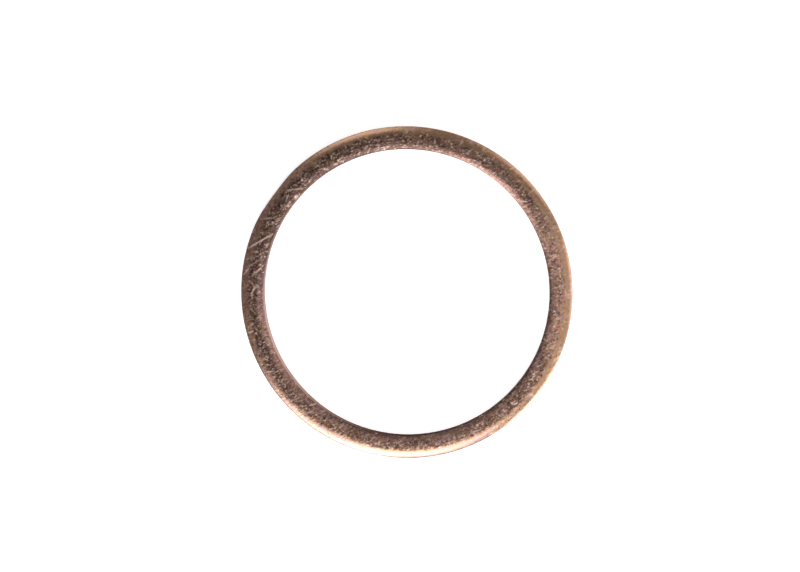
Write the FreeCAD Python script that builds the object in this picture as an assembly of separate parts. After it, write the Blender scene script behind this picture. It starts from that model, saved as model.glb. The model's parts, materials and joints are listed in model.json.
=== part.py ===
import FreeCAD, Part
import math
import os

# Flat copper sealing washer, nominal size 38 x 44 x 2 mm: one solid ring stamped from soft copper strip.
#
# Frame, in millimetres: the origin is the centre of the bore on the lower face, and +Z runs along the bore
# axis towards the die-rolled face.
#
# A blanked ring is not a plain rectangle in section. Each edge of the band runs, from the lower face up: a
# small tumbled corner, a break-out taper where the metal tore, a straight sheared wall, a second tumbled
# corner, and a die roll where the strip was drawn down into the cut. The die roll ends on the flat land in
# the middle of the upper face. The bore and the outline are cut in one stroke, so their runs are alike.

# Driving dimensions
BORE_DIAMETER = 38.0
OUTER_DIAMETER = 44.0
THICKNESS = 2.0

# Edge run, the same at the bore and at the outline
ROLL_WIDTH = 1.1  # from the wall in to the flat land
ROLL_END_SLOPE = 30.0  # degrees the die roll has turned down where the top corner begins
TOP_CORNER_RADIUS = 0.2
BREAK_HEIGHT = 0.75  # where the sheared wall ends and the break-out taper begins
BREAK_ANGLE = 3.5  # degrees the taper leans back from the sheared wall
BOTTOM_CORNER_RADIUS = 0.12

# Worked out from those
SLOPE = math.radians(ROLL_END_SLOPE)
LEAN = math.radians(BREAK_ANGLE)
ROLL_RADIUS = TOP_CORNER_RADIUS + (ROLL_WIDTH - TOP_CORNER_RADIUS) / math.sin(SLOPE)
WALL_TOP = THICKNESS - TOP_CORNER_RADIUS - (ROLL_RADIUS - TOP_CORNER_RADIUS) * (1 - math.cos(SLOPE))
BREAK_DEPTH = (BREAK_HEIGHT - BOTTOM_CORNER_RADIUS) * math.tan(LEAN)
BOTTOM_CORNER_DEPTH = BREAK_DEPTH + BOTTOM_CORNER_RADIUS / math.cos(LEAN)


def band_point(edge_radius, side, depth, height):
    """A point in the XZ plane, at a depth in from an edge. side is +1 at the outline and -1 at the bore."""
    return FreeCAD.Vector(edge_radius - side * depth, 0, height)


def line(start, end):
    return Part.LineSegment(start, end).toShape()


def corner(edge_radius, side, depth, height, radius, start, end):
    """An arc about a centre. Its angles start from straight out of the metal and turn up towards +Z."""
    angles = (start, (start + end) / 2, end)
    points = [
        band_point(edge_radius, side, depth - radius * math.cos(angle), height + radius * math.sin(angle))
        for angle in angles
    ]
    return Part.Arc(*points).toShape()


def edge_run(edge_radius, side):
    """The run's edges from the lower face up to the land, and the points where the run starts and ends."""
    up = math.pi / 2
    low = BOTTOM_CORNER_RADIUS
    start = band_point(edge_radius, side, BOTTOM_CORNER_DEPTH, 0)
    break_start = band_point(
        edge_radius, side, BOTTOM_CORNER_DEPTH - low * math.cos(LEAN), low - low * math.sin(LEAN)
    )
    wall_start = band_point(edge_radius, side, 0, BREAK_HEIGHT)
    wall_end = band_point(edge_radius, side, 0, WALL_TOP)
    end = band_point(edge_radius, side, ROLL_WIDTH, THICKNESS)
    edges = [
        corner(edge_radius, side, BOTTOM_CORNER_DEPTH, low, low, -up, -LEAN),
        line(break_start, wall_start),
        line(wall_start, wall_end),
        corner(edge_radius, side, TOP_CORNER_RADIUS, WALL_TOP, TOP_CORNER_RADIUS, 0, up - SLOPE),
        corner(edge_radius, side, ROLL_WIDTH, THICKNESS - ROLL_RADIUS, ROLL_RADIUS, up - SLOPE, up),
    ]
    return edges, start, end


def band_section():
    """The band's section, as a face in the XZ plane."""
    outline_run, outline_start, outline_end = edge_run(OUTER_DIAMETER / 2, 1)
    bore_run, bore_start, bore_end = edge_run(BORE_DIAMETER / 2, -1)
    lower_face = line(bore_start, outline_start)
    land = line(outline_end, bore_end)
    return Part.Face(Part.Wire([lower_face, *outline_run, land, *reversed(bore_run)]))


def sealing_ring():
    """The whole washer: the band's section turned once round the bore axis."""
    return band_section().revolve(FreeCAD.Vector(0, 0, 0), FreeCAD.Vector(0, 0, 1), 360)


NODES = {"sealing_ring": sealing_ring}


def main():
    os.makedirs("parts", exist_ok=True)
    for name, make in NODES.items():
        shape = make()
        if shape.ShapeType != "Solid" or not shape.isValid() or shape.Volume <= 0:
            raise RuntimeError(f"{name} is not one sound solid")
        shape.exportStep(f"parts/{name}.step")
        print(f"{name}: {len(shape.Faces)} faces, {shape.Volume:.2f} mm3, sheared wall to {WALL_TOP:.3f} mm")


main()
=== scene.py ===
import json
import math
import random

import bmesh
import bpy
import numpy as np
from mathutils import Matrix, Vector, noise


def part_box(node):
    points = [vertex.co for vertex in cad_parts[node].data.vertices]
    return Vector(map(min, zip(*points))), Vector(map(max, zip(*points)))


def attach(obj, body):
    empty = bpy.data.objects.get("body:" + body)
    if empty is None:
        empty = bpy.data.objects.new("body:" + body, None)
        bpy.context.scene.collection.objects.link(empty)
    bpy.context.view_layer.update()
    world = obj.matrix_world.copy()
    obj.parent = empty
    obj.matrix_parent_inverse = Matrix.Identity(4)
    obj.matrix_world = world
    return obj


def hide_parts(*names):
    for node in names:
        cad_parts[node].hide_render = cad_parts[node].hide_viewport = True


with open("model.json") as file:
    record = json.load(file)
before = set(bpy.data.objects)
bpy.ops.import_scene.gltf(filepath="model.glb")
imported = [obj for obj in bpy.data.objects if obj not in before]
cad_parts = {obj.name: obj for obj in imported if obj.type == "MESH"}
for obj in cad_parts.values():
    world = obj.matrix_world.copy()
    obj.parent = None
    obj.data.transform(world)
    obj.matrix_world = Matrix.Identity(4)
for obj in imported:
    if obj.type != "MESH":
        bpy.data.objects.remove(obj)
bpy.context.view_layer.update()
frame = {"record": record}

# A flat copper sealing washer, lying on a white table and seen from above. Everything is in metres, in the
# frame of the CAD model: the origin is the centre of the bore on the lower face, and +Z is up. The marks and
# the section are easier to read in millimetres, so MM turns them into metres.
MM = 0.001
SEED = 38


# ---------------------------------------------------------------- sizes

def mount(name):
    """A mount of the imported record, by name."""
    return next(m for m in frame["record"]["mounts"] if m["name"] == name)


RING_LOW, RING_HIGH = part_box("sealing_ring")
BORE_RADIUS = mount("bore")["dims"]["r_mm"]
OUTER_RADIUS = RING_HIGH.x / MM
BAND_MIDDLE = (BORE_RADIUS + OUTER_RADIUS) / 2
THICKNESS = RING_HIGH.z / MM

# The section's edge run, as the CAD model has it, but for a die roll that tumbling has widened at the outline
# and a lower corner that is nearly sharp
ROLL_WIDTHS = {"bore": 1.1, "outline": 1.3}
ROLL_SLOPE = math.radians(30)
TOP_CORNER_RADIUS = 0.2
BREAK_HEIGHT = 0.75
BREAK_LEAN = math.radians(3.5)
BOTTOM_CORNER_RADIUS = 0.06

# The visual ring keeps this far inside the CAD ring, so that its burrs and ripples stay in the CAD box
SKIN = 0.008

# Mesh: steps round the ring, and points along each stretch of the section
STEPS_ROUND = 1440
POINTS = {"bottom_corner": 3, "break_out": 3, "wall": 4, "top_corner": 4, "roll": 11, "land": 9, "under": 6}


# ---------------------------------------------------------------- section

def spaced(start, end, count):
    """count points from start, stopping short of end."""
    return np.linspace(start, end, count, endpoint=False)


def edge_run(roll_width):
    """(depth in from the wall, height) from the lower face up to the land, in millimetres."""
    low = BOTTOM_CORNER_RADIUS
    taper = math.tan(BREAK_LEAN)
    corner_depth = (BREAK_HEIGHT - low) * taper + low / math.cos(BREAK_LEAN)
    roll_radius = TOP_CORNER_RADIUS + (roll_width - TOP_CORNER_RADIUS) / math.sin(ROLL_SLOPE)
    wall_top = THICKNESS - TOP_CORNER_RADIUS - (roll_radius - TOP_CORNER_RADIUS) * (1 - math.cos(ROLL_SLOPE))
    up = math.pi / 2
    points = []
    for angle in spaced(-up, -BREAK_LEAN, POINTS["bottom_corner"]):
        points.append((corner_depth - low * math.cos(angle), low + low * math.sin(angle)))
    for height in spaced(low * (1 - math.sin(BREAK_LEAN)), BREAK_HEIGHT, POINTS["break_out"]):
        points.append(((BREAK_HEIGHT - height) * taper, height))
    for height in spaced(BREAK_HEIGHT, wall_top, POINTS["wall"]):
        points.append((0.0, height))
    for angle in spaced(0, up - ROLL_SLOPE, POINTS["top_corner"]):
        depth = TOP_CORNER_RADIUS * (1 - math.cos(angle))
        points.append((depth, wall_top + TOP_CORNER_RADIUS * math.sin(angle)))
    for angle in spaced(up - ROLL_SLOPE, up, POINTS["roll"]):
        depth = roll_width - roll_radius * math.cos(angle)
        points.append((depth, THICKNESS - roll_radius * (1 - math.sin(angle))))
    return points


def ring_section():
    """(radius, height) all the way round the section, in millimetres, starting under the bore's edge."""
    outline = [(OUTER_RADIUS - depth, height) for depth, height in edge_run(ROLL_WIDTHS["outline"])]
    bore = [(BORE_RADIUS + depth, height) for depth, height in edge_run(ROLL_WIDTHS["bore"])]
    under = [(r, 0.0) for r in spaced(bore[0][0], outline[0][0], POINTS["under"] + 1)[1:]]
    land_edges = (OUTER_RADIUS - ROLL_WIDTHS["outline"], BORE_RADIUS + ROLL_WIDTHS["bore"])
    land = [(r, THICKNESS) for r in np.linspace(*land_edges, POINTS["land"])]
    return np.array(under + outline + land + bore[::-1])


def section_normals(section):
    """Outward unit normals of the closed section."""
    tangent = np.roll(section, -1, axis=0) - np.roll(section, 1, axis=0)
    normal = np.stack([tangent[:, 1], -tangent[:, 0]], axis=1)
    return normal / np.linalg.norm(normal, axis=1, keepdims=True)


# ---------------------------------------------------------------- marks in the metal

# Scratches across the upper face: degrees round and millimetres out from the bore's edge, for both ends, then
# the groove's width and depth in millimetres, and how far it has bared fresh copper, from 0 to 1
SCRATCHES = (
    ((164.2, 2.75), (156.4, 0.35), 0.14, 0.012, 1.0),
    ((139.0, 1.75), (134.3, 0.35), 0.11, 0.014, 0.8),
    ((152.5, 2.35), (150.0, 0.95), 0.10, 0.014, 0.6),
    ((153.4, 1.30), (151.9, 0.55), 0.09, 0.012, 0.5),
    ((171.0, 2.40), (166.8, 0.65), 0.09, 0.012, 0.55),
    ((173.2, 1.45), (170.1, 0.40), 0.10, 0.014, 0.75),
    ((180.4, 1.60), (177.0, 0.60), 0.10, 0.014, 0.75),
    ((186.6, 1.15), (185.0, 0.45), 0.09, 0.012, 0.6),
    ((190.2, 1.20), (188.6, 0.40), 0.10, 0.016, 0.7),
    ((191.2, 1.00), (189.8, 0.35), 0.09, 0.012, 0.6),
    ((197.9, 1.10), (196.5, 0.40), 0.10, 0.014, 0.6),
    ((205.2, 2.05), (204.6, 1.15), 0.09, 0.012, 0.6),
    ((224.0, 1.70), (224.8, 0.90), 0.10, 0.014, 0.6),
    ((230.8, 1.80), (232.2, 0.95), 0.10, 0.014, 0.6),
    ((322.0, 2.65), (321.0, 1.75), 0.11, 0.012, 0.6),
    ((65.0, 1.90), (66.0, 1.05), 0.09, 0.012, 0.7),
    ((18.1, 0.45), (18.5, 0.05), 0.11, 0.016, 0.8),
)

# Dings in the upper face: degrees round, millimetres out from the bore's edge, radius, depth
DINGS = (
    (33.1, 1.62, 0.16, 0.035),
    (195.4, 1.60, 0.17, 0.040),
    (299.2, 0.85, 0.22, 0.030),
    (130.4, 0.42, 0.15, 0.030),
    (118.1, 1.50, 0.14, 0.024),
    (102.8, 0.98, 0.13, 0.024),
    (132.2, 1.15, 0.20, 0.020),
    (63.7, 2.80, 0.12, 0.050),
    (324.1, 2.80, 0.12, 0.050),
)

# The nick in the bore's upper edge, and the flat where the outline was knocked in. Angles are in degrees, and
# the rest is in millimetres. heights are where the nick begins and where it is full, and reach is how far in
# from the outline the flat goes. A higher power gives the flat squarer ends.
NICK = {"angle": 138.7, "out": 0.05, "width": 0.26, "depth": 0.34, "heights": (0.9, 1.5)}
FLAT = {"angle": 143.0, "half_angle": 8.0, "depth": 0.17, "reach": 1.0, "power": 2.5}

# Tumbling marks, which are scattered over both faces: where across the band they lie, as shares of it (a
# ding's third number is the likeliest), their size in millimetres, and how rare bright ones are
RANDOM_DINGS = 1500
DING = {"across": (0.02, 0.98, 0.5), "radius": (0.06, 0.16), "depth_share": 0.12, "rarity": 6}
RANDOM_SCRATCHES = 1400
SCRATCH = {
    "across": (0.1, 0.9),
    "length": 0.15,
    "extra_length": 0.8,
    "width": (0.07, 0.1),
    "depth": 0.008,
    "rarity": 4,
}
STRIP_GRAIN = 30.0  # degrees: the way the strip was rolled, along which most fine scratches run
GRAIN_SPREAD = 25.0  # degrees

# A mark's section, in widths of the mark: a groove with a low burr along each side, and the metal it bares
GROOVE_WIDTH = 0.6
BURR = {"height": 0.35, "offset": 1.1, "width": 0.45}
BARED_WIDTH = {"scratch": 0.6, "ding": 0.7}
REACH = 3  # how many widths away a mark still counts
END_FADE = 0.5  # how much shallower a scratch is at its ends


def plan(angle, out):
    """The plan position of a mark, in millimetres."""
    turn = math.radians(angle)
    return np.array([math.cos(turn), math.sin(turn)]) * (BORE_RADIUS + out)


def segment_distance(x, y, start, end):
    """Distance of plan points from a straight scratch, and how far along it they lie, from 0 to 1."""
    run = end - start
    share = np.clip(((x - start[0]) * run[0] + (y - start[1]) * run[1]) / (run @ run), 0, 1)
    return np.hypot(x - start[0] - share * run[0], y - start[1] - share * run[1]), share


def groove(distance, width, depth):
    """Height change across a mark."""
    across = distance / width
    burr = BURR["height"] * np.exp(-((across - BURR["offset"]) / BURR["width"]) ** 2)
    return depth * (burr - np.exp(-((across / GROOVE_WIDTH) ** 2)))


class Face:
    """One face of the ring, which collects the marks cut in it."""

    def __init__(self, x, y, weight):
        self.x = x
        self.y = y
        self.weight = weight  # 1 where the face is, 0 elsewhere
        self.lift = np.zeros_like(x)
        self.bright = np.zeros_like(x)  # how far a mark has bared fresh copper

    def scratch(self, start, end, width, depth, brightness):
        near = self._near((start + end) / 2, np.linalg.norm(end - start) / 2 + REACH * width)
        distance, share = segment_distance(self.x[near], self.y[near], start, end)
        fade = 1 - END_FADE * np.abs(2 * share - 1) ** 3
        self.lift[near] += groove(distance, width, depth * fade)
        self._bare(near, distance / (BARED_WIDTH["scratch"] * width), brightness * fade)

    def ding(self, centre, radius, depth, brightness=1.0):
        near = self._near(centre, REACH * radius)
        distance = np.hypot(self.x[near] - centre[0], self.y[near] - centre[1])
        self.lift[near] += groove(distance, radius, depth)
        self._bare(near, distance / (BARED_WIDTH["ding"] * radius), brightness)

    def _near(self, centre, reach):
        return (np.hypot(self.x - centre[0], self.y - centre[1]) < reach) & (self.weight > 0)

    def _bare(self, near, widths_away, brightness):
        shine = brightness * np.exp(-(widths_away**2))
        self.bright[near] = np.maximum(self.bright[near], shine)


def mark_upper_face(face, dice):
    for start, end, width, depth, bared in SCRATCHES:
        face.scratch(plan(*start), plan(*end), width, depth, bared)
    for angle, out, radius, depth in DINGS:
        face.ding(plan(angle, out), radius, depth)
    scatter_marks(face, dice, RANDOM_DINGS, RANDOM_SCRATCHES)


def scatter_marks(face, dice, dings, scratches):
    """Tumbling marks all over a face: most of them faint, a few bright."""
    band = OUTER_RADIUS - BORE_RADIUS
    for _ in range(dings):
        centre = plan(dice.uniform(0, 360), band * dice.triangular(*DING["across"]))
        radius = dice.uniform(*DING["radius"])
        face.ding(centre, radius, DING["depth_share"] * radius, dice.random() ** DING["rarity"])
    for _ in range(scratches):
        start = plan(dice.uniform(0, 360), band * dice.uniform(*SCRATCH["across"]))
        heading = math.radians(dice.gauss(STRIP_GRAIN, GRAIN_SPREAD))
        length = SCRATCH["length"] + SCRATCH["extra_length"] * dice.random() ** 2
        end = start + length * np.array([math.cos(heading), math.sin(heading)])
        width = dice.uniform(*SCRATCH["width"])
        face.scratch(start, end, width, SCRATCH["depth"], dice.random() ** SCRATCH["rarity"])


# ---------------------------------------------------------------- ring surface

# Places round the ring: the middle of each in degrees, then the cosines of the angle away from it at which
# the place has faded out and at which it is full
# All but the last two places are where painted shade darkens the copper, besides any tarnish; at the next to
# last, wear and painted light lighten the land.
PLACES = {
    "tarnished_outline": (185.0, 0.0, 0.85),
    "tarnished_outer_wall": (185.0, -0.8, 0.85),
    "tarnished_land": (165.0, 0.1, 0.85),
    "tarnished_front_land": (292.0, 0.3, 0.85),
    "tarnished_bore": (122.0, 0.1, 0.85),
    "tarnished_bore_edge": (122.0, 0.2, 0.85),
    "oxidised_bore_edge": (300.0, -0.5, 0.85),
    "tarnished_bore_wall": (320.0, -0.8, 0.85),
    "worn_land": (4.0, 0.8, 1.0),
    "front": (265.0, 0.6, 0.95),
}

# Parts of the surface, by how far the normal points up or sideways: where each begins and where it is whole
FACE_TILT = (0.3, 0.7)
WALL_TILT = (0.75, 0.97)
CORNER_TILT = {"outline": (0.42, 0.7), "bore": (0.2, 0.6)}

# Other limits, in millimetres, in the same way
UPPER_CORNER_HEIGHTS = (1.2, 1.5)
SHOULDER_DROPS = (0.0, 0.2)  # down from the land
SHOULDER_WIDTH = 1.2  # in from either edge
WIDE_ROLL_REACH = (1.55, 0.7)  # in from the outline, as is the next
# Where the front shoulder is painted pale under the front light's highlight, to whiten it
PALED_UNDER_HIGHLIGHT_REACH = (1.4, 0.7)
OXIDE_FADE = {"bore": (0.15, 1.25), "outline": (0.0, 0.85)}  # from the middle of the band

# Ripples round the ring: wavelength in millimetres, and a seed
TEAR_RIPPLE = {"outline": (2.6, 11.0), "bore": (2.2, 23.0)}
ROLL_RIPPLE = {"outline": (7.0, 31.0), "bore": (6.0, 47.0)}
NOISE_GAIN = 1.6  # brings Blender's noise up to about 1

# How far the surface strays, in millimetres
TEAR_WANDER = 0.2  # the tearing line, up and down
TEAR_SOFTNESS = 0.05
COARSE_SCALE = 3.4  # per millimetre, of the coarse noise
COARSE = {"faces": 0.008, "torn": 0.03}
TORN_DEPTH = 0.012
ROLL_STRAY = 0.012
WIDE_ROLL_DEPTH = 0.028  # at the front, where the outline's die roll also runs further in

# Shares of dark oxide and painted shade on the edges, and of lightness given to or taken from the land
DARKEST = 0.97
# Of the bore edge's shares, the first is oxide all round, and the other two are painted shade towards 300°
# and 122°.
BORE_EDGE = {"everywhere": 0.2, "oxidised": 0.75, "tarnished": 0.75}
# The land's first share is wear and painted light that lighten it; the other two are painted shade that
# darkens it.
LAND = {"worn": 0.85, "tarnished": 0.33, "front": 0.17}


def smooth_step(value, low, high):
    """0 below low, 1 above high, smooth between."""
    share = np.clip((value - low) / (high - low), 0, 1)
    return share * share * (3 - 2 * share)


def towards_outline(radius, start, full):
    """0 until start millimetres from the outline, 1 from full millimetres on, smooth between."""
    return smooth_step(radius, OUTER_RADIUS - start, OUTER_RADIUS - full)


def ripple(angle, wavelength, seed):
    """Smooth noise from -1 to 1 round the ring, as a column."""
    radius = BAND_MIDDLE / wavelength
    points = [Vector((math.cos(a) * radius, math.sin(a) * radius, seed)) for a in angle]
    return np.array([noise.noise(p) for p in points])[:, None] * NOISE_GAIN


class Ring:
    """The ring's surface before it is marked: a grid of points, steps round it by points in its section."""

    def __init__(self):
        section = ring_section()
        normals = section_normals(section)
        self.shape = (STEPS_ROUND, len(section))
        self.angle = np.linspace(0, 2 * np.pi, STEPS_ROUND, endpoint=False)
        self.cos = np.cos(self.angle)[:, None]
        self.sin = np.sin(self.angle)[:, None]
        self.radius = np.broadcast_to(section[:, 0], self.shape)
        self.height = np.broadcast_to(section[:, 1], self.shape)
        self.out = np.broadcast_to(normals[:, 0], self.shape)
        self.up = np.broadcast_to(normals[:, 1], self.shape)
        self.x = self.radius * self.cos
        self.y = self.radius * self.sin
        self.is_outside = self.radius > BAND_MIDDLE
        self.wall = smooth_step(np.abs(self.out), *WALL_TILT)  # from 0 on the faces to 1 on the walls

    def at(self, place):
        """How far each step round the ring is at a place, from 0 to 1, as a column."""
        middle, faded, full = PLACES[place]
        return smooth_step(np.cos(self.angle - math.radians(middle)), faded, full)[:, None]

    def by_side(self, outline, bore):
        """One value on the outline's side of the band, and the other on the bore's."""
        return np.where(self.is_outside, outline, bore)

    def ripples(self, waves):
        return self.by_side(ripple(self.angle, *waves["outline"]), ripple(self.angle, *waves["bore"]))


def marked_faces(ring):
    """The upper and the lower face, with their marks."""
    dice = random.Random(SEED)
    upper = Face(ring.x, ring.y, smooth_step(ring.up, *FACE_TILT))
    mark_upper_face(upper, dice)
    lower = Face(ring.x, ring.y, smooth_step(-ring.up, *FACE_TILT))
    scatter_marks(lower, dice, RANDOM_DINGS // 2, RANDOM_SCRATCHES)
    return upper, lower


def torn_metal(ring):
    """1 below the tearing line, which wanders up and down both walls, and 0 elsewhere."""
    line = BREAK_HEIGHT + TEAR_WANDER * ring.ripples(TEAR_RIPPLE)
    return ring.wall * smooth_step(line - ring.height, -TEAR_SOFTNESS, TEAR_SOFTNESS)


def coarse_noise(ring):
    return np.array([
        [noise.noise(Vector(point) * COARSE_SCALE) for point in zip(*row)]
        for row in zip(ring.x, ring.y, ring.height)
    ])


def surface_moves(ring, upper, lower, torn):
    """How far each point moves along its normal, in millimetres. Nothing rises through the skin."""
    coarse = coarse_noise(ring)
    move = upper.weight * upper.lift + lower.weight * lower.lift
    move += COARSE["faces"] * coarse * (1 - ring.wall) + torn * (COARSE["torn"] * coarse - TORN_DEPTH)
    shoulder = upper.weight * smooth_step(THICKNESS - ring.height, *SHOULDER_DROPS)
    move += ROLL_STRAY * ring.ripples(ROLL_RIPPLE) * shoulder
    wide_roll = towards_outline(ring.radius, *WIDE_ROLL_REACH)
    move -= WIDE_ROLL_DEPTH * ring.at("front") * upper.weight * wide_roll
    return np.minimum(move - SKIN, 0)


def knocked_in(ring):
    """How far the flat on the outline reaches at each point, from 0 to 1."""
    turn = (np.degrees(ring.angle)[:, None] - FLAT["angle"]) / FLAT["half_angle"]
    return np.exp(-np.abs(turn) ** FLAT["power"]) * towards_outline(ring.radius, FLAT["reach"], 0)


def nicked(ring):
    """How far the nick in the bore's edge reaches at each point, from 0 to 1."""
    middle = plan(NICK["angle"], NICK["out"])
    near = np.exp(-((np.hypot(ring.x - middle[0], ring.y - middle[1]) / NICK["width"]) ** 2))
    return ring.by_side(0, near * smooth_step(ring.height, *NICK["heights"]))


def oxide_cover(ring):
    """How far brown oxide covers each point: all of the land, and less of the shoulders."""
    from_middle = ring.radius - BAND_MIDDLE
    outer_fall = smooth_step(from_middle, *OXIDE_FADE["outline"])
    inner_fall = smooth_step(-from_middle, *OXIDE_FADE["bore"])
    return 1 - np.maximum(outer_fall, inner_fall)


def land_lightness(ring):
    """How light the land is round the ring: lighter where wear and painted light lie, darker under painted
    shade.
    """
    lightness = 1 + LAND["worn"] * ring.at("worn_land")
    lightness = lightness - LAND["tarnished"] * ring.at("tarnished_land")
    return lightness - LAND["front"] * ring.at("tarnished_front_land")


def edge_oxide(ring, height):
    """How far dark oxide and, at some angles round it, painted shade cover the upper corners and walls."""
    outer_corner = DARKEST * ring.at("tarnished_outline") * smooth_step(ring.out, *CORNER_TILT["outline"])
    bore_edge = np.maximum(
        ring.at("oxidised_bore_edge"), BORE_EDGE["tarnished"] * ring.at("tarnished_bore_edge")
    )
    inner_corner = BORE_EDGE["everywhere"] + BORE_EDGE["oxidised"] * bore_edge
    inner_corner = inner_corner * smooth_step(-ring.out, *CORNER_TILT["bore"])
    corner = ring.by_side(outer_corner, inner_corner) * smooth_step(height, *UPPER_CORNER_HEIGHTS)
    wall = ring.by_side(ring.at("tarnished_outer_wall"), ring.at("tarnished_bore_wall"))
    return np.maximum(corner, DARKEST * ring.wall * wall)


def ring_quads(around, along):
    """The ring's faces, joining each section to the next one round."""
    index = np.arange(around * along).reshape(around, along)
    after = np.roll(index, -1, axis=0)
    quads = np.stack([index, after, np.roll(after, -1, axis=1), np.roll(index, -1, axis=1)], axis=-1)
    return quads.reshape(-1, 4).tolist()


def paint(mesh, name, values):
    """Stores one number a point on the mesh, for the material to read."""
    attribute = mesh.attributes.new(name, "FLOAT", "POINT")
    attribute.data.foreach_set("value", values.astype(np.float32).ravel())


# What ring_mesh paints on each point of the mesh
PAINTED = (
    # bright also holds the nick, whose bared copper is there as a painted glint
    "bright",  # how far a mark has bared fresh copper
    "torn",
    "wall",
    "oxidised",
    "land_lightness",
    "outer",  # 0 on the inner shoulder, 1 on the outer one
    # tarnish and painted shade on the shoulders
    "tarnish",
    "front",
    # painted pale under the front light's highlight, to whiten it
    "polished",
    # dark oxide and painted shade on the corners and walls
    "edge_oxide",
)


def ring_mesh():
    """The whole ring as one closed mesh, with what its material needs to know at each point."""
    ring = Ring()
    upper, lower = marked_faces(ring)
    torn = torn_metal(ring)
    nick = nicked(ring)
    move = surface_moves(ring, upper, lower, torn)
    radius = ring.radius + move * ring.out - FLAT["depth"] * knocked_in(ring) + NICK["depth"] * nick
    height = ring.height + move * ring.up
    points = np.stack([radius * ring.cos, radius * ring.sin, height], axis=-1).reshape(-1, 3) * MM

    mesh = bpy.data.meshes.new("sealing_ring_surface")
    mesh.from_pydata(points.tolist(), [], ring_quads(*ring.shape))
    mesh.shade_smooth()
    marks = np.maximum(upper.weight * upper.bright, lower.weight * lower.bright)
    looks = {
        # The nick's bared copper is also a painted glint
        "bright": np.maximum(marks, nick),
        "torn": torn,
        "wall": ring.wall,
        "oxidised": oxide_cover(ring),
        "land_lightness": land_lightness(ring),
        "outer": smooth_step(radius, BORE_RADIUS + SHOULDER_WIDTH, OUTER_RADIUS - SHOULDER_WIDTH),
        "tarnish": ring.by_side(ring.at("tarnished_outline"), ring.at("tarnished_bore")),
        "front": ring.at("front"),
        "polished": ring.at("front") * towards_outline(radius, *PALED_UNDER_HIGHLIGHT_REACH),
        "edge_oxide": edge_oxide(ring, height),
    }
    for name in PAINTED:
        paint(mesh, name, np.broadcast_to(looks[name], ring.shape))
    return mesh


# ---------------------------------------------------------------- material nodes

class Nodes:
    """A short way to write a node graph: each call adds a node and gives the output asked for."""

    def __init__(self, tree):
        self.tree = tree
        self.tree.nodes.clear()

    def add(self, kind, output=0, inputs=None, **settings):
        node = self.tree.nodes.new(kind)
        for name, value in settings.items():
            setattr(node, name, value)
        for name, value in (inputs or {}).items():
            self.feed(node.inputs[name], value)
        return node.outputs[output] if node.outputs else node

    def feed(self, socket, value):
        if isinstance(value, bpy.types.NodeSocket):
            self.tree.links.new(value, socket)
        else:
            socket.default_value = value

    def math(self, operation, first, second=0.0):
        return self.add("ShaderNodeMath", inputs={0: first, 1: second}, operation=operation)

    def plus(self, first, second):
        return self.math("ADD", first, second)

    def times(self, first, second):
        return self.math("MULTIPLY", first, second)

    def one_minus(self, value):
        return self.math("SUBTRACT", 1.0, value)

    def weighted(self, values, weights):
        """The sum of some values, each times its own weight."""
        total = 0.0
        for name, weight in weights.items():
            total = self.plus(total, self.times(values[name], weight))
        return total

    def attribute(self, name):
        return self.add("ShaderNodeAttribute", "Fac", attribute_name=name)

    def noise(self, where, scale, detail=2.0, roughness=0.5, distortion=0.0):
        inputs = {
            "Vector": where,
            "Scale": scale,
            "Detail": detail,
            "Roughness": roughness,
            "Distortion": distortion,
        }
        return self.add("ShaderNodeTexNoise", "Fac", inputs)

    def swinging(self, where, **settings):
        """Noise that swings about 0."""
        return self.math("SUBTRACT", self.noise(where, **settings), 0.5)

    def around_one(self, value, amount):
        """1 plus some of a value that swings about 0."""
        return self.plus(1.0, self.times(value, amount))

    def ramp(self, value, low, high):
        """0 below low, 1 above high, smooth between."""
        inputs = {"Value": value, "From Min": low, "From Max": high}
        return self.add("ShaderNodeMapRange", "Result", inputs, interpolation_type="SMOOTHSTEP")

    def mix(self, share, first, second):
        """Mixes two colours."""
        return self.add("ShaderNodeMix", 2, {0: share, 6: first, 7: second}, data_type="RGBA")

    def blend(self, share, first, second):
        """Mixes two numbers."""
        return self.add("ShaderNodeMix", 0, {0: share, 2: first, 3: second}, data_type="FLOAT")

    def scaled(self, colour, by):
        return self.add("ShaderNodeVectorMath", 0, {0: colour, "Scale": by}, operation="SCALE")

    def shifted(self, where, by):
        """The same place in another part of the noise."""
        return self.add("ShaderNodeVectorMath", inputs={0: where, 1: (by, by, by)}, operation="ADD")

    def stretched(self, where, x, y, z):
        return self.add("ShaderNodeVectorMath", inputs={0: where, 1: (x, y, z)}, operation="MULTIPLY")

    def turned(self, where, degrees):
        inputs = {"Vector": where, "Angle": math.radians(degrees)}
        return self.add("ShaderNodeVectorRotate", inputs=inputs, rotation_type="Z_AXIS")


def rgb(red, green, blue):
    return (red, green, blue, 1.0)


def grey(level):
    return rgb(level, level, level)


def new_material(name):
    """A new material, and a short way to write its nodes."""
    material = bpy.data.materials.new(name)
    material.use_nodes = True
    return material, Nodes(material.node_tree)


# ---------------------------------------------------------------- copper

# The copper's colours, in linear light
FRESH_COPPER = rgb(0.97, 0.72, 0.62)
ROSE_COPPER = rgb(0.61, 0.35, 0.28)
TAN_COPPER = rgb(0.62, 0.37, 0.24)
# Painted under the front light's highlight, to whiten it
PALE_COPPER = rgb(0.48, 0.32, 0.262)
TORN_COPPER = rgb(0.42, 0.28, 0.235)
# The next two are tarnish and painted shade, on the outline's shoulder and on the bore's
RUSSET_OXIDE_AND_SHADE = rgb(0.55, 0.322, 0.24)
PLUM_OXIDE_AND_SHADE = rgb(0.205, 0.117, 0.097)
BROWN_OXIDE = rgb(0.395, 0.22, 0.158)
DEEP_OXIDE = rgb(0.178, 0.103, 0.083)
OLIVE_OXIDE = rgb(0.265, 0.172, 0.108)
FRINGE_OXIDE = rgb(0.62, 0.31, 0.135)
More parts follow.
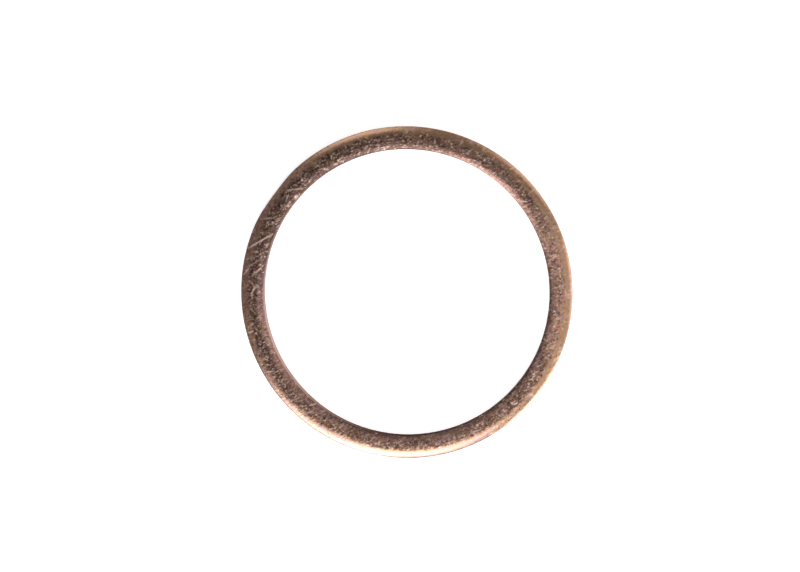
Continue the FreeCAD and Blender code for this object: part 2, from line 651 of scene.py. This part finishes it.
# The next is dark oxide and painted shade on the corners and walls; the one after dims their reflections
# there, as painted shade too
EDGE_OXIDE_AND_SHADE = rgb(0.12, 0.075, 0.06)
EDGE_SHEEN = rgb(0.09, 0.07, 0.06)
WHITE_SHEEN = grey(1.0)

# Where something begins and where it is complete, on the scale of the noise that decides it
OXIDE_RANGE = (0.1, 0.8)
PATCH_RANGE = (-0.04, 0.14)
OLIVE_RANGE = (-0.02, 0.12)
RUBBED_RANGE = (0.2, 1.7)

# How strong each is
OXIDE_BLOTCH = 1.2
PATCH_SHARE = 0.85
# The fringe is strongest at the front, where it paints an orange edge on the front light's highlight
FRINGE = {"elsewhere": 0.8, "front": 2.4, "hidden_by_tarnish": 0.9}
TORN_SHARE = 0.7
TINT = {"redness": 0.8, "blueness": 1.1}
SMOOTHNESS = {"inner": 0.12, "outer": 0.8, "lost_to_tarnish": 0.45, "wall": 0.65}
CONTRAST = {"grain": 6.0, "fleck": 1.3, "streak": 4.5}
HOLLOW_DARKNESS = 0.55
RUBBED_SHARE = 0.8
ROUGHNESS = {"inner": 0.39, "outer": 0.31, "oxide": 0.38, "torn": 0.62, "bared": 0.8, "grain": 0.3}
RELIEF = {"grain": 0.6, "fleck": 0.25, "streak": 0.3}
DRAG = {"across": 9.0, "along": 0.7, "relief": 0.35}  # the lines that the punch and die drew down the walls
BUMP_HEIGHT = 0.065  # millimetres
STREAK_STRETCH = (1.4, 5.0, 1.0)
NOISE_SHIFT = {"redness": 17.0, "blueness": 41.0, "film": 63.0}


def copper_noise(n, where):
    """The copper's fields of noise, which swing about 0. where is in millimetres."""
    along_strip = n.stretched(n.turned(where, -STRIP_GRAIN), *STREAK_STRETCH)
    apart = {name: n.shifted(where, by) for name, by in NOISE_SHIFT.items()}
    return {
        "grain": n.swinging(where, scale=3.4, detail=3.0, roughness=0.6),
        "fleck": n.swinging(where, scale=7.0, detail=1.0),
        "streak": n.swinging(along_strip, scale=1.0, roughness=0.6),
        "blotch": n.swinging(where, scale=1.15, detail=4.0, roughness=0.6, distortion=0.4),
        "redness": n.swinging(apart["redness"], scale=1.7, detail=3.0, roughness=0.65),
        "blueness": n.swinging(apart["blueness"], scale=1.2, detail=3.0, roughness=0.65),
        "film": n.swinging(apart["film"], scale=0.6, detail=3.0, roughness=0.55, distortion=0.6),
    }


def shoulder_colour(n, painted):
    """Rose inside and tan outside, darker with tarnish and painted shade, and painted pale under the front
    highlight.
    """
    outside = n.mix(painted["tarnish"], TAN_COPPER, RUSSET_OXIDE_AND_SHADE)
    outside = n.mix(painted["polished"], outside, PALE_COPPER)
    inside = n.mix(painted["tarnish"], ROSE_COPPER, PLUM_OXIDE_AND_SHADE)
    return n.mix(painted["outer"], inside, outside)


def land_colour(n, field, painted):
    """Brown oxide with deep and olive patches in it."""
    patch = n.times(n.ramp(field["blotch"], *PATCH_RANGE), PATCH_SHARE)
    patch_colour = n.mix(n.ramp(field["film"], *OLIVE_RANGE), DEEP_OXIDE, OLIVE_OXIDE)
    return n.scaled(n.mix(patch, BROWN_OXIDE, patch_colour), painted["land_lightness"])


def fringe_share(n, oxide, painted):
    """How far the orange fringe shows where oxide thins near the outline, and paints an edge on the front
    highlight.
    """
    thinning = n.times(oxide, n.one_minus(oxide))
    strength = n.blend(painted["front"], FRINGE["elsewhere"], FRINGE["front"])
    untarnished = n.one_minus(n.times(painted["tarnish"], FRINGE["hidden_by_tarnish"]))
    return n.times(n.times(n.times(thinning, strength), untarnished), painted["outer"])


def colour_under_grain(n, field, oxide, painted):
    colour = n.mix(oxide, shoulder_colour(n, painted), land_colour(n, field, painted))
    colour = n.mix(fringe_share(n, oxide, painted), colour, FRINGE_OXIDE)
    colour = n.mix(n.times(painted["torn"], TORN_SHARE), colour, TORN_COPPER)
    colour = n.mix(painted["edge_oxide"], colour, EDGE_OXIDE_AND_SHADE)
    tint = n.add(
        "ShaderNodeCombineXYZ",
        inputs={
            "X": n.around_one(field["redness"], TINT["redness"]),
            "Y": 1.0,
            "Z": n.around_one(field["blueness"], TINT["blueness"]),
        },
    )
    return n.add("ShaderNodeVectorMath", 0, {0: colour, 1: tint}, operation="MULTIPLY")


def grain_share(n, oxide, painted):
    """How far the grain shows: all of it in the oxide, and less on smooth shoulders and walls."""
    lost = n.times(painted["tarnish"], SMOOTHNESS["lost_to_tarnish"])
    outer = n.math("SUBTRACT", SMOOTHNESS["outer"], lost)
    smoothness = n.blend(painted["outer"], SMOOTHNESS["inner"], outer)
    share = n.math("MAXIMUM", oxide, n.one_minus(smoothness))
    return n.times(share, n.one_minus(n.times(painted["wall"], SMOOTHNESS["wall"])))


def grained_colour(n, colour, field, grained, painted):
    """Hollows keep their oxide, high spots are rubbed pale, and marks bare fresh copper, painted as a glint
    in the nick.
    """
    contrast = n.times(n.weighted(field, CONTRAST), grained)
    hollow = n.math("EXPONENT", n.math("MINIMUM", n.times(contrast, HOLLOW_DARKNESS), 0.0))
    rubbed = n.times(n.ramp(contrast, *RUBBED_RANGE), RUBBED_SHARE)
    colour = n.mix(rubbed, n.scaled(colour, hollow), FRESH_COPPER)
    return n.mix(painted["bright"], colour, FRESH_COPPER)


def copper_roughness(n, field, oxide, painted):
    shoulder = n.blend(painted["outer"], ROUGHNESS["inner"], ROUGHNESS["outer"])
    roughness = n.blend(oxide, shoulder, ROUGHNESS["oxide"])
    roughness = n.plus(roughness, n.times(field["grain"], ROUGHNESS["grain"]))
    roughness = n.blend(painted["torn"], roughness, ROUGHNESS["torn"])
    return n.blend(painted["bright"], roughness, ROUGHNESS["bared"])


def copper_bump(n, where, field, grained, painted):
    """Grain on the faces, and upright lines on the sheared walls."""
    relief = n.times(n.weighted(field, RELIEF), grained)
    drag = n.noise(n.stretched(where, DRAG["across"], DRAG["across"], DRAG["along"]), scale=1.0)
    sheared = n.times(painted["wall"], n.one_minus(painted["torn"]))
    relief = n.blend(sheared, relief, n.times(drag, DRAG["relief"]))
    inputs = {"Strength": 1.0, "Distance": BUMP_HEIGHT * MM, "Height": relief}
    return n.add("ShaderNodeBump", "Normal", inputs)


def copper_material():
    """Tumbled, tarnished copper: a mottled brown land between smoother shoulders, with light and shade
    painted in.
    """
    material, n = new_material("tarnished_copper")
    where = n.stretched(n.add("ShaderNodeTexCoord", "Object"), 1 / MM, 1 / MM, 1 / MM)
    painted = {name: n.attribute(name) for name in PAINTED}
    field = copper_noise(n, where)
    oxide = n.ramp(n.plus(painted["oxidised"], n.times(field["blotch"], OXIDE_BLOTCH)), *OXIDE_RANGE)
    grained = grain_share(n, oxide, painted)
    colour = colour_under_grain(n, field, oxide, painted)
    surface = n.add(
        "ShaderNodeBsdfPrincipled",
        "BSDF",
        {
            "Base Color": grained_colour(n, colour, field, grained, painted),
            "Metallic": 1.0,
            "Roughness": copper_roughness(n, field, oxide, painted),
            "Specular Tint": n.mix(painted["edge_oxide"], WHITE_SHEEN, EDGE_SHEEN),
            "Normal": copper_bump(n, where, field, grained, painted),
        },
    )
    n.add("ShaderNodeOutputMaterial", inputs={"Surface": surface})
    return material


# ---------------------------------------------------------------- table and backdrop

TABLE_SIZE = 4.0
TABLE_GREYS = (0.86, 0.90)
TABLE_ROUGHNESS = 0.9
TABLE_GLOW = {"near": 0.60, "far": 0.95}
GLOW_RANGE = (0.08, 0.32)  # metres from the washer, where the glow starts to rise and where it is full
BACKDROP_RADIUS = 1.9
BACKDROP_HEIGHT = 1.2
BACKDROP_SIDES = 96
BACKDROP_GREYS = (0.80, 0.84)


def cloudy_grey(n, metres, greys, **settings):
    """A grey with a trace of unevenness."""
    return n.mix(n.noise(metres, **settings), grey(greys[0]), grey(greys[1]))


def table_material():
    """A matt white table, lit a little from beneath."""
    material, n = new_material("white_table")
    metres = n.add("ShaderNodeTexCoord", "Object")
    colour = cloudy_grey(n, metres, TABLE_GREYS, scale=9.0, detail=3.0)
    from_washer = n.add("ShaderNodeVectorMath", "Value", {0: metres}, operation="LENGTH")
    glow = n.blend(n.ramp(from_washer, *GLOW_RANGE), TABLE_GLOW["near"], TABLE_GLOW["far"])
    inputs = {
        "Base Color": colour,
        "Roughness": TABLE_ROUGHNESS,
        "Emission Color": colour,
        "Emission Strength": glow,
    }
    n.add("ShaderNodeOutputMaterial", inputs={"Surface": n.add("ShaderNodeBsdfPrincipled", "BSDF", inputs)})
    return material


def backdrop_material():
    """Pale paper that glows evenly."""
    material, n = new_material("backdrop_paper")
    colour = cloudy_grey(n, n.add("ShaderNodeTexCoord", "Object"), BACKDROP_GREYS, scale=1.5)
    glow = n.add("ShaderNodeEmission", "Emission", {"Color": colour, "Strength": 1.0})
    n.add("ShaderNodeOutputMaterial", inputs={"Surface": glow})
    return material


def white_table():
    """A table top under the washer."""
    half = TABLE_SIZE / 2
    mesh = bpy.data.meshes.new("table_top")
    corners = [(-half, -half, 0), (half, -half, 0), (half, half, 0), (-half, half, 0)]
    mesh.from_pydata(corners, [], [(0, 1, 2, 3)])
    mesh.materials.append(table_material())
    table = bpy.data.objects.new("table_top", mesh)
    table.location.z = RING_LOW.z
    bpy.context.scene.collection.objects.link(table)


def pale_backdrop():
    """A pale wall right round the table, for low views. It lights nothing, and copper doesn't mirror it."""
    tube = bmesh.new()
    bmesh.ops.create_cone(
        tube,
        segments=BACKDROP_SIDES,
        radius1=BACKDROP_RADIUS,
        radius2=BACKDROP_RADIUS,
        depth=BACKDROP_HEIGHT,
    )
    mesh = bpy.data.meshes.new("backdrop")
    tube.to_mesh(mesh)
    tube.free()
    mesh.materials.append(backdrop_material())
    wall = bpy.data.objects.new("backdrop", mesh)
    wall.location.z = RING_LOW.z + BACKDROP_HEIGHT / 2
    wall.visible_diffuse = False
    wall.visible_glossy = False
    wall.visible_shadow = False
    bpy.context.scene.collection.objects.link(wall)


# ---------------------------------------------------------------- light and camera

# The room's greys, and where it goes from one to the next, as the sine of the angle up
ROOM_GREYS = {"horizon": 0.75, "sides": 0.20, "overhead": 0.10}
SIDES_RANGE = (0.0, 0.16)
OVERHEAD_RANGE = (0.85, 1.0)

# Soft boxes round the washer: degrees round, degrees up, distance and size in metres, watts
SOFT_BOXES = {
    "front": (267, 39, 0.18, 0.12, 0.168),
    "front_left": (240, 24, 0.50, 0.30, 1.2),
    "right": (0, 20, 0.50, 0.25, 0.42),
    "high_right": (345, 62, 0.18, 0.14, 0.031),
    "low_right": (315, 12, 0.18, 0.08, 0.128),
    "back_left": (112, 30, 0.18, 0.08, 0.025),
    "back_right": (46, 26, 0.18, 0.08, 0.024),
}

# The camera stands over the washer, a little to the right and the top of the picture
CAMERA_DISTANCE = 0.160
CAMERA_TILT = math.radians(6.8)
CAMERA_TURN = math.radians(36.0)
CAMERA_LENS = 54.31
CAMERA_CLIP_START = 0.01
AIM = Vector((-0.68, 0.97, 0.0)) * MM  # what the middle of the picture shows, from the washer's centre


def pale_room():
    """The room: pale near the horizon and dim overhead."""
    world = bpy.data.worlds.new("pale_room")
    bpy.context.scene.world = world
    world.use_nodes = True
    n = Nodes(world.node_tree)
    direction = n.add("ShaderNodeTexCoord", "Generated")
    height = n.add("ShaderNodeSeparateXYZ", "Z", {0: direction})
    colour = n.mix(n.ramp(height, *SIDES_RANGE), grey(ROOM_GREYS["horizon"]), grey(ROOM_GREYS["sides"]))
    colour = n.mix(n.ramp(height, *OVERHEAD_RANGE), colour, grey(ROOM_GREYS["overhead"]))
    background = n.add("ShaderNodeBackground", inputs={"Color": colour, "Strength": 1.0})
    n.add("ShaderNodeOutputWorld", inputs={"Surface": background})


def soft_box(name, round_angle, up_angle, distance, size, watts):
    """A square area light that faces the middle of the washer. It isn't seen and throws no shadows."""
    light = bpy.data.lights.new(name, "AREA")
    light.shape = "SQUARE"
    light.size = size
    light.energy = watts
    light.use_shadow = False
    turn = math.radians(round_angle)
    lift = math.radians(up_angle)
    away = Vector((math.cos(turn) * math.cos(lift), math.sin(turn) * math.cos(lift), math.sin(lift)))
    lamp = bpy.data.objects.new(name, light)
    lamp.location = away * distance
    lamp.rotation_euler = away.to_track_quat("Z", "Y").to_euler()
    lamp.visible_camera = False
    bpy.context.scene.collection.objects.link(lamp)


def overhead_camera():
    """The camera, with the top of the picture towards +Y."""
    centre = (RING_LOW + RING_HIGH) / 2
    back = Vector((
        math.sin(CAMERA_TILT) * math.cos(CAMERA_TURN),
        math.sin(CAMERA_TILT) * math.sin(CAMERA_TURN),
        math.cos(CAMERA_TILT),
    ))
    right = Vector((0, 1, 0)).cross(back).normalized()
    top = back.cross(right)
    data = bpy.data.cameras.new("overhead")
    data.lens = CAMERA_LENS
    data.clip_start = CAMERA_CLIP_START
    camera = bpy.data.objects.new("overhead", data)
    turn = Matrix((right, top, back)).transposed().to_4x4()
    camera.matrix_world = Matrix.Translation(centre + AIM + back * CAMERA_DISTANCE) @ turn
    bpy.context.scene.collection.objects.link(camera)
    bpy.context.scene.camera = camera


# ---------------------------------------------------------------- the scene

def washer():
    """The washer, standing for the CAD ring."""
    mesh = ring_mesh()
    mesh.materials.append(copper_material())
    piece = bpy.data.objects.new("copper_sealing_ring", mesh)
    bpy.context.scene.collection.objects.link(piece)
    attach(piece, "root")
    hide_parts("sealing_ring")


bpy.context.scene.view_settings.view_transform = "Standard"
washer()
white_table()
pale_backdrop()
pale_room()
for box_name, box in SOFT_BOXES.items():
    soft_box(box_name, *box)
overhead_camera()
